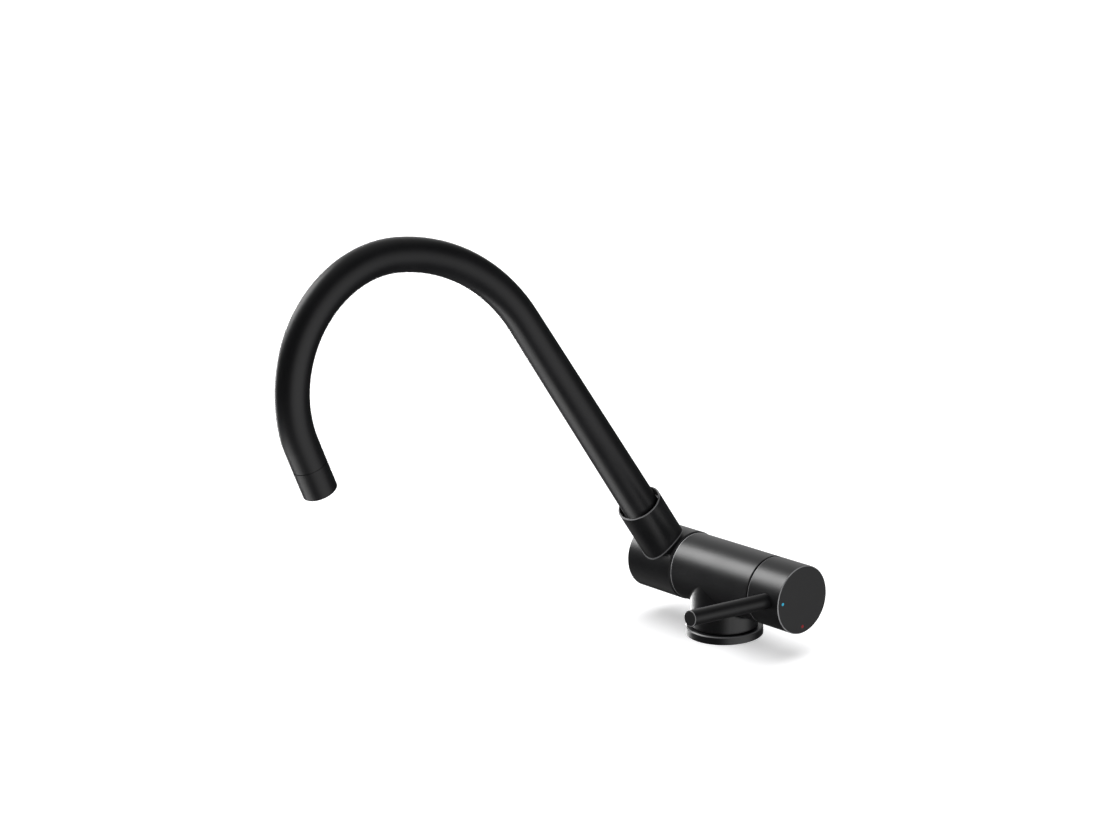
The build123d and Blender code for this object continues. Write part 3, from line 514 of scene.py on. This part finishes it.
def dress_metals():
    """Turned brass and steel pieces; the spout's foot leans, so its marks run another way."""
    brass = ((0.62, 0.44, 0.18), (0.74, 0.56, 0.28), (0.20, 0.34))
    dress(turned("brass_turned", *brass, (6000.0, 60.0, 60.0)), "cartridge_nut", "fold_axle")
    dress(turned("brass_spout_foot", *brass, (60.0, 3500.0, 5000.0)), "spout_root")
    dress(turned("steel_turned", (0.52, 0.52, 0.53), (0.64, 0.64, 0.65), (0.20, 0.36), (6000.0, 80.0, 80.0)),
          "retaining_washer", "retaining_screw", "cartridge_stem", "stem_pin", "spout_grub_screw",
          "handle_grub_screw", "aerator_screen")


def add_materials():
    coat_body()
    coat_elbow()
    coat_handle()
    coat_spout()
    dress_cap_face()
    dress_seals()
    dress_mouldings()
    dress_metals()


def group(name, wanted):
    """Collection of the CAD nodes that a test picks."""
    collection = bpy.data.collections.new(name)
    for piece in nodes.values():
        if wanted(piece):
            collection.objects.link(piece)
    return collection


def soft_light(name, lit, shading, azimuth, elevation, width, height, power, target):
    """Rectangular soft light in a direction from its target, facing it, that lights only some pieces."""
    data = bpy.data.lights.new(name, "AREA")
    data.shape = "RECTANGLE"
    data.size = width
    data.size_y = height
    data.energy = power
    light = bpy.data.objects.new(name, data)
    way = direction(azimuth, elevation)
    light.location = Vector(target) + way * LIGHT_DISTANCE
    light.rotation_mode = "QUATERNION"
    light.rotation_quaternion = (-way).to_track_quat("-Z", "Y")
    bpy.context.scene.collection.objects.link(light)
    light.light_linking.receiver_collection = lit
    light.light_linking.blocker_collection = shading


def add_floor():
    """Pale floor with its own overhead light, so that its tone is even and the tap's shadow is soft."""
    bpy.ops.mesh.primitive_plane_add(size=FLOOR_SIZE, location=(0.0, 0.0, 0.0))
    floor = bpy.context.object
    floor.name = "studio_floor"
    floor.visible_glossy = False
    shader = Shader("floor_paint")
    slow = shader.noise(FLOOR_PATCH, FLOOR_PATCH_DETAIL)
    tone = shader.blend(shader.spread(slow, 0.0, 1.0), FLOOR_DARK, FLOOR_LIGHTER)
    shader.link(tone, shader.surface.inputs["Base Color"])
    shader.set(Roughness=FLOOR_ROUGHNESS, Specular_IOR_Level=FLOOR_SHINE,
               Emission_Color=(1.0, 1.0, 1.0, 1.0), Emission_Strength=FLOOR_GLOW)
    floor.data.materials.append(shader.material)
    receivers = bpy.data.collections.new("floor_only")
    receivers.objects.link(floor)
    data = bpy.data.lights.new("floor_light", "SUN")
    data.energy = FLOOR_LIGHT
    data.angle = radians(FLOOR_LIGHT_ANGLE)
    light = bpy.data.objects.new("floor_light", data)
    light.location = (0.0, 0.0, FLOOR_LIGHT_HEIGHT)
    bpy.context.scene.collection.objects.link(light)
    light.light_linking.receiver_collection = receivers


def add_surround():
    """Dim even light all round, with a few soft pale walls at set directions."""
    world = bpy.data.worlds.new("studio")
    bpy.context.scene.world = world
    world.use_nodes = True
    tree = world.node_tree
    background = tree.nodes["Background"]
    background.inputs["Color"].default_value = (1.0, 1.0, 1.0, 1.0)
    way = tree.nodes.new("ShaderNodeTexCoord").outputs["Generated"]
    total = None
    for azimuth, elevation, inner, outer, strength in SOFT_WALLS:
        facing = tree.nodes.new("ShaderNodeVectorMath")
        facing.operation = "DOT_PRODUCT"
        tree.links.new(way, facing.inputs[0])
        facing.inputs[1].default_value = direction(azimuth, elevation)
        wall = tree.nodes.new("ShaderNodeMapRange")
        wall.interpolation_type = "SMOOTHSTEP"
        wall.inputs["From Min"].default_value = cos(radians(outer))
        wall.inputs["From Max"].default_value = cos(radians(inner))
        wall.inputs["To Max"].default_value = strength
        tree.links.new(facing.outputs["Value"], wall.inputs["Value"])
        sum_node = tree.nodes.new("ShaderNodeMath")
        sum_node.operation = "ADD"
        tree.links.new(wall.outputs["Result"], sum_node.inputs[0])
        if total is None:
            sum_node.inputs[1].default_value = WORLD_LIGHT
        else:
            tree.links.new(total, sum_node.inputs[1])
        total = sum_node.outputs[0]
    tree.links.new(total, background.inputs["Strength"])


def add_studio():
    """Surround, floor, and the soft lights for each group of pieces."""
    add_surround()
    groups = {
        "everything": group("tap_pieces", lambda piece: True),
        "standing": group("standing_pieces", lambda piece: piece["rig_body"] in STANDING_BODIES),
        "elbow": group("elbow_pieces", lambda piece: piece["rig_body"] == "rear_barrel"),
        "spout": group("spout_pieces", lambda piece: piece["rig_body"] == "spout"),
    }
    add_floor()
    for name, (lit, shading, *values) in SOFT_LIGHTS.items():
        soft_light(name, groups[lit], groups[shading], *values)


add_camera()
add_materials()
add_studio()
bpy.context.scene.view_settings.view_transform = "Standard"
